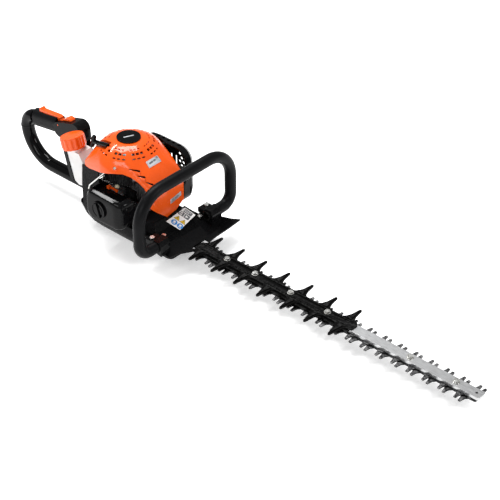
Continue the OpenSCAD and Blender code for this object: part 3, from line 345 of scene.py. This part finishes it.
def decal(name, shapes, plane, node, ink, lift=GROUND):
    """Thin printed shapes that follow a node's surface, lift millimetres above it."""
    bm = bmesh.new()
    for pts in shapes:
        f = bm.faces.new([bm.verts.new(plane.at(x, y, RAY_START)) for x, y in pts])
        tri = bmesh.ops.triangulate(bm, faces=[f])["faces"]
        edges = list({e for t in tri for e in t.edges})
        bmesh.ops.subdivide_edges(bm, edges=edges, cuts=2, use_grid_fill=True)
    for v in bm.verts:
        hit = tree(node).ray_cast(v.co, -plane.n)
        missed = v.co - plane.n * RAY_START / 1000
        v.co = (hit[0] if hit[0] is not None else missed) + plane.n * lift / 1000
    bm.normal_update()
    o = piece(name, bm, INK[ink], smooth=False)
    solid = o.modifiers.new("thickness", "SOLIDIFY")
    solid.thickness = INK_THICKNESS / 1000
    solid.offset = -1


def disc(x, y, r, n=36):
    """Polygon of n sides and radius r about (x, y)."""
    return [(x + r * math.cos(2 * math.pi * k / n), y + r * math.sin(2 * math.pi * k / n))
            for k in range(n)]


def bar2(x0, y0, x1, y1):
    """Rectangle between two corners."""
    return [(x0, y0), (x1, y0), (x1, y1), (x0, y1)]


def rounded(w, h, r, x=0.0, y=0.0):
    """Rectangle of half sizes w and h about (x, y), with corner radius r."""
    pts = []
    corners = ((w - r, h - r, 0), (r - w, h - r, 90), (r - w, r - h, 180), (w - r, r - h, 270))
    for cx, cy, start in corners:
        for turn in range(0, 91, 18):
            a = math.radians(start + turn)
            pts.append((x + cx + r * math.cos(a), y + cy + r * math.sin(a)))
    return pts


# generic label on the hand shield: blue discs, yellow triangles and plain dark panels
label = Frame2(mp(122.3, 17.5, 64.0), Vector((29, 9.5, -14.5)), Vector((-4, 58, 2)))
decal("label_discs", [disc(-6.9, -18.6, 6.6), disc(6.9, -18.6, 6.6)], label, "warning_label",
      "blue")
decal("label_disc_marks", [disc(-6.9, -17.2, 2.6), disc(6.9, -17.2, 2.6),
                           bar2(-9.7, -22.0, -4.1, -20.8), bar2(4.1, -22.0, 9.7, -20.8)],
      label, "warning_label", "white", lift=FIGURE)
for side in (-1, 1):
    cx, cy = side * 6.9, -5.2
    decal("label_triangle_edge_%d" % side,
          [[(cx - 6.8, cy - 4.8), (cx + 6.8, cy - 4.8), (cx, cy + 7.0)]],
          label, "warning_label", "black")
    decal("label_triangle_%d" % side,
          [[(cx - 5.5, cy - 4.0), (cx + 5.5, cy - 4.0), (cx, cy + 5.6)]],
          label, "warning_label", "yellow", lift=FIGURE)
    decal("label_triangle_mark_%d" % side, [bar2(cx - 0.6, cy - 1.2, cx + 0.6, cy + 2.2),
                                            bar2(cx - 0.6, cy - 2.6, cx + 0.6, cy - 1.7)],
          label, "warning_label", "black", lift=MARK)
decal("label_panels", [rounded(5.9, 5.4, 0.8, -6.5, 10.2), rounded(5.9, 5.4, 0.8, 6.5, 10.2),
                       rounded(12.2, 4.6, 0.8, 0, 21.6)], label, "warning_label", "grey")
decal("label_panel_marks", [disc(-6.5, 12.2, 1.8, 20), bar2(-9.4, 6.4, -3.6, 8.6),
                            [(3.4, 6.8), (10.2, 10.2), (3.4, 13.6)],
                            bar2(-10.4, 22.4, 9.4, 23.4), bar2(-10.4, 19.6, 5.4, 20.6)],
      label, "warning_label", "white", lift=FIGURE)

# plain silver plates on the hood and on the front wall
hood_plate = Frame2(mp(68.8, -2.3, 184.5), Vector((0, 1, 0.13)), Vector((-0.7, 0, 0.7)))
decal("hood_plate_field", [rounded(13.4, 5.2, 0.8, 0.3, 0)], hood_plate, "cover_labels", "silver")
decal("hood_plate_marks", [bar2(-10.5, -1.7, -1.0, 1.9), bar2(0.2, -1.7, 6.0, 1.9)], hood_plate,
      "cover_labels", "grey", lift=FIGURE)
decal("hood_plate_corner", [[(8.6, 4.4), (12.6, 4.4), (12.6, -0.6)]], hood_plate, "cover_labels",
      "grey", lift=FIGURE)
front_plate = Frame2(mp(103.6, 22, 103), Vector((0, 30, 6)), Vector((0, -3, 15)))
decal("front_plate_lines",
      [bar2(-12, k * 2.6 - 0.7, 9 - abs(k) * 3, k * 2.6 + 0.7) for k in (-1, 0, 1)],
      front_plate, "cover_labels", "grey")

# light bar in the round badge, with no lettering
badge = Frame2(mp(0, 0, 212), Vector((0.407, 0.914, 0)), Vector((-0.914, 0.407, 0)))
decal("badge_bar", [rounded(10.6, 1.5, 0.6)], badge, "starter_badge", "silver")


LATHE_STEPS = 40


def lathe(profile, origin, axis):
    """Turned solid: profile of (radius, height) in millimetres along axis."""
    bm = bmesh.new()
    rot = axis.to_track_quat("Z", "Y").to_matrix()
    rings = []
    for r, h in profile:
        if r < 1e-6:
            rings.append([bm.verts.new(origin + rot @ Vector((0, 0, h / 1000)))])
            continue
        turns = [2 * math.pi * k / LATHE_STEPS for k in range(LATHE_STEPS)]
        rings.append([bm.verts.new(origin + rot @ (Vector((r * math.cos(a), r * math.sin(a), h))
                                                   / 1000)) for a in turns])
    for a, b in zip(rings, rings[1:]):
        for k in range(LATHE_STEPS):
            j = (k + 1) % LATHE_STEPS
            if len(a) == 1:
                bm.faces.new((a[0], b[j], b[k]))
            elif len(b) == 1:
                bm.faces.new((a[k], a[j], b[0]))
            else:
                bm.faces.new((a[k], a[j], b[j], b[k]))
    bmesh.ops.recalc_face_normals(bm, faces=bm.faces)
    return bm


SOCKET_TOP, SOCKET_FLOOR = 2.1, 0.6  # mm above the seat
RIM_BAND = 0.05  # mm
SOCKET_FIT = 0.98  # of the six-sided figure inside the rim
HEX = math.pi / 3
SCREW_SHARP, BOSS_SHARP = math.radians(40), math.radians(42)


def screw_head(name, origin, axis, r):
    """Round head with a six-sided socket."""
    bm = lathe([(r * 0.99, -1.0), (r, 0.3), (r * 0.93, 1.2), (r * 0.74, 1.9),
                (r * 0.56, SOCKET_TOP)], origin, axis)
    rot = axis.to_track_quat("Z", "Y").to_matrix()

    def local(v):
        return rot.inverted() @ (v.co - origin)

    rim = [v for v in bm.verts if local(v).z > (SOCKET_TOP - RIM_BAND) / 1000]
    rim.sort(key=lambda v: math.atan2(local(v).y, local(v).x))
    socket = []
    for v in rim:
        p = local(v)
        k = SOCKET_FIT * math.cos(HEX / 2) / math.cos(math.atan2(p.y, p.x) % HEX - HEX / 2)
        socket.append([bm.verts.new(origin + rot @ Vector((p.x * k, p.y * k, z / 1000)))
                       for z in (SOCKET_TOP, SOCKET_FLOOR)])
    for i, (top, floor) in enumerate(socket):
        j = (i + 1) % len(rim)
        bm.faces.new((rim[i], rim[j], socket[j][0], top))
        bm.faces.new((top, socket[j][0], socket[j][1], floor))
    bm.faces.new([pair[1] for pair in socket])
    bmesh.ops.recalc_face_normals(bm, faces=bm.faces)
    o = piece(name, bm, MAT["zinc_steel"])
    o.data.set_sharp_from_angle(angle=SCREW_SHARP)


# screw boss at the lower near edge of the hood
out = Vector((0.25, -0.86, 0.44)).normalized()
boss_at = mp(24.8, -62.6, 178.2)
boss = lathe([(6.4, -5), (6.2, 0.5), (5.6, 2.6), (4.6, 3.4), (3.6, 3.6), (3.4, 1.6), (0, 1.5)],
             boss_at, out)
boss_piece = piece("hood_boss", boss, MAT["orange_plastic"])
boss_piece.data.set_sharp_from_angle(angle=BOSS_SHARP)
screw_head("hood_boss_screw", boss_at + out * 0.0018, out, 2.9)

# screw on the inlet flange of the carburettor
screw_head("carburettor_screw_0", mp(-11, -50, 111.768), Vector((0, 0, 1)), 2.6)

# --------------------------------------------------------------- the stage
# camera fitted to the photograph's view: metres, angles round and above the machine
CAMERA_AT = Vector((1.777, -1.926, 1.923))
AZ, EL = math.radians(41.925), math.radians(35.301)
LENS, SENSOR = 120.5, 36  # mm
camera = bpy.data.objects.new("camera", bpy.data.cameras.new("camera"))
scene.collection.objects.link(camera)
back = Vector((math.sin(AZ) * math.cos(EL), -math.cos(AZ) * math.cos(EL), math.sin(EL)))
camera.location = CAMERA_AT
camera.rotation_mode = "QUATERNION"
camera.rotation_quaternion = (-back).to_track_quat("-Z", "Y")
camera.data.lens = LENS
camera.data.sensor_width = SENSOR
camera.data.clip_start, camera.data.clip_end = 0.1, 60
scene.camera = camera

LIT_POINT = Vector((-0.1, 0, 0.05))


def area_light(name, place, size, power):
    """White rectangle of light, aimed at the engine."""
    lamp = bpy.data.lights.new(name, "AREA")
    lamp.shape = "RECTANGLE"
    lamp.size, lamp.size_y = size
    lamp.energy = power
    o = bpy.data.objects.new(name, lamp)
    scene.collection.objects.link(o)
    o.location = place
    o.rotation_mode = "QUATERNION"
    o.rotation_quaternion = (LIT_POINT - Vector(place)).to_track_quat("-Z", "Y")


area_light("key", (-1.1, 0.5, 2.6), (1.5, 1.0), 78)
area_light("front", (0.2, -2.4, 1.6), (1.8, 0.7), 26)
area_light("strip", (-1.5, -0.1, 1.7), (1.0, 0.12), 14)
area_light("side", (2.3, 0.9, 1.5), (0.9, 0.9), 24)

WHITE = (1, 1, 1, 1)
SKY_STRENGTH, FLOOR_GLOW = 0.36, 0.4
FLOOR_HALF = 14  # m
world = bpy.data.worlds.new("studio")
world.use_nodes = True
sky = world.node_tree.nodes["Background"].inputs
sky["Color"].default_value = WHITE
sky["Strength"].default_value = SKY_STRENGTH
scene.world = world
scene.view_settings.view_transform = "Standard"

bm = bmesh.new()
bmesh.ops.create_grid(bm, x_segments=8, y_segments=8, size=FLOOR_HALF)
floor_mesh = bpy.data.meshes.new("floor")
bm.to_mesh(floor_mesh)
bm.free()
floor = bpy.data.objects.new("floor", floor_mesh)
scene.collection.objects.link(floor)
pale = Nodes("floor_pale")
pale.link(pale.blend(pale.span(pale.noise(1.5, 2), 0.3, 0.7), (0.93, 0.93, 0.93),
                     (0.95, 0.95, 0.95)), pale.bsdf.inputs["Base Color"])
pale.bsdf.inputs["Emission Color"].default_value = WHITE
pale.bsdf.inputs["Emission Strength"].default_value = FLOOR_GLOW
pale.bsdf.inputs["Roughness"].default_value = 0.9
pale.bsdf.inputs["Specular IOR Level"].default_value = 0.1
floor_mesh.materials.append(pale.m)

# ---------------------------------------------------------------- last lines
bpy.context.view_layer.update()
